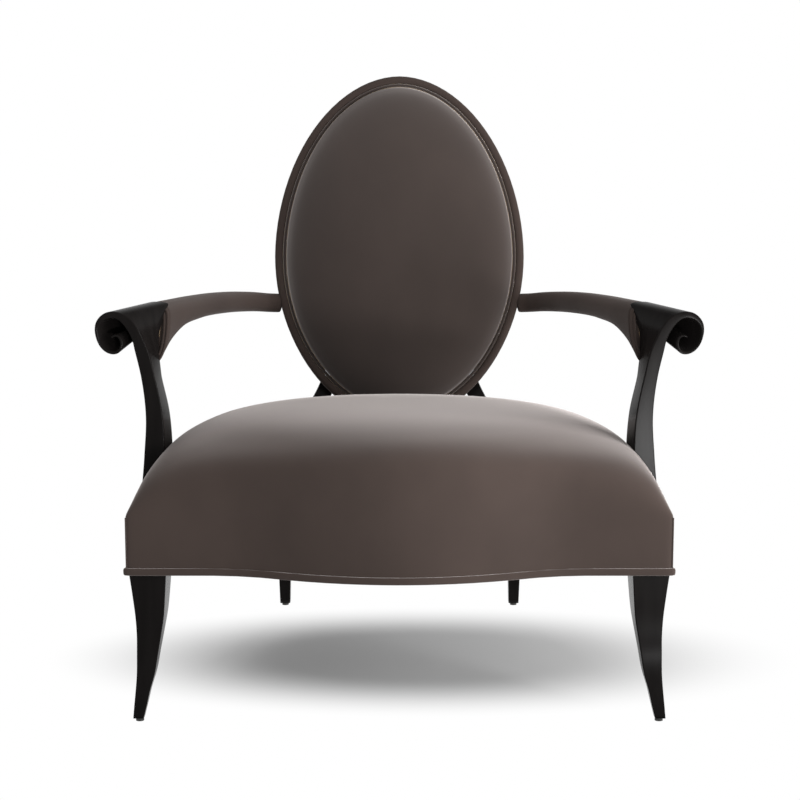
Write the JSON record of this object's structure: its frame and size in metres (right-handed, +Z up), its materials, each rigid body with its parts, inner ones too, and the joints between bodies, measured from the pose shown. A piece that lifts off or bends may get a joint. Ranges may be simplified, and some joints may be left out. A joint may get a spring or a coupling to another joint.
{
  "type": "upholstered lounge armchair",
  "caption": "Lounge armchair with a tall oval back, a wide crowned seat with a serpentine front, sabre legs and arm posts that roll outward into volutes.",
  "frame": {"origin": "on the floor under the middle of the chair's width and depth", "axes": "+Z up, the chair faces -Y, X across it"},
  "size_m": [0.8992, 0.792, 0.9478],
  "materials": {
    "black_lacquer": "polished black lacquer",
    "hardwood": "planed beech, unfinished",
    "velvet": "taupe brown velvet pile",
    "foam": "open-cell foam",
    "webbing": "woven jute webbing",
    "hessian": "plain weave hessian",
    "dust_cloth": "black non-woven cloth",
    "fastener_steel": "zinc plated",
    "glide_nickel": "nickel plated"
  },
  "bodies": {
    "root": {"arm_bolts": "fastener_steel", "arm_core_left": "hardwood", "arm_core_right": "hardwood", "arm_cover_left": "velvet", "arm_cover_right": "velvet", "arm_dowels": "hardwood", "arm_front_welt_left": "velvet", "arm_front_welt_right": "velvet", "arm_padding_left": "foam", "arm_padding_right": "foam", "arm_post_bolts": "fastener_steel", "arm_post_left": "black_lacquer", "arm_post_right": "black_lacquer", "back_bolts": "fastener_steel", "back_border": "velvet", "back_cross_rail": "hardwood", "back_foam": "foam", "back_frame_dowels": "hardwood", "back_frame_lower_left": "hardwood", "back_frame_lower_right": "hardwood", "back_frame_upper_left": "hardwood", "back_frame_upper_right": "hardwood", "back_hessian": "hessian", "back_webbing_cross": "webbing", "back_webbing_upright": "webbing", "corner_block_screws": "fastener_steel", "dust_cover": "dust_cloth", "foot_glides": "glide_nickel", "front_corner_block_left": "hardwood", "front_corner_block_right": "hardwood", "front_leg_left": "black_lacquer", "front_leg_right": "black_lacquer", "front_rail": "hardwood", "inside_back_cover": "velvet", "inside_back_welt": "velvet", "outside_back_cover": "velvet", "outside_back_welt": "velvet", "rail_dowels": "hardwood", "rear_corner_block_left": "hardwood", "rear_corner_block_right": "hardwood", "rear_leg_left": "black_lacquer", "rear_leg_right": "black_lacquer", "rear_rail": "hardwood", "seat_cover": "velvet", "seat_foam": "foam", "seat_hem_welt": "velvet", "seat_hessian": "hessian", "seat_webbing_cross": "webbing", "seat_webbing_long": "webbing", "side_rail_left": "hardwood", "side_rail_right": "hardwood"}
  },
  "joints": []
}
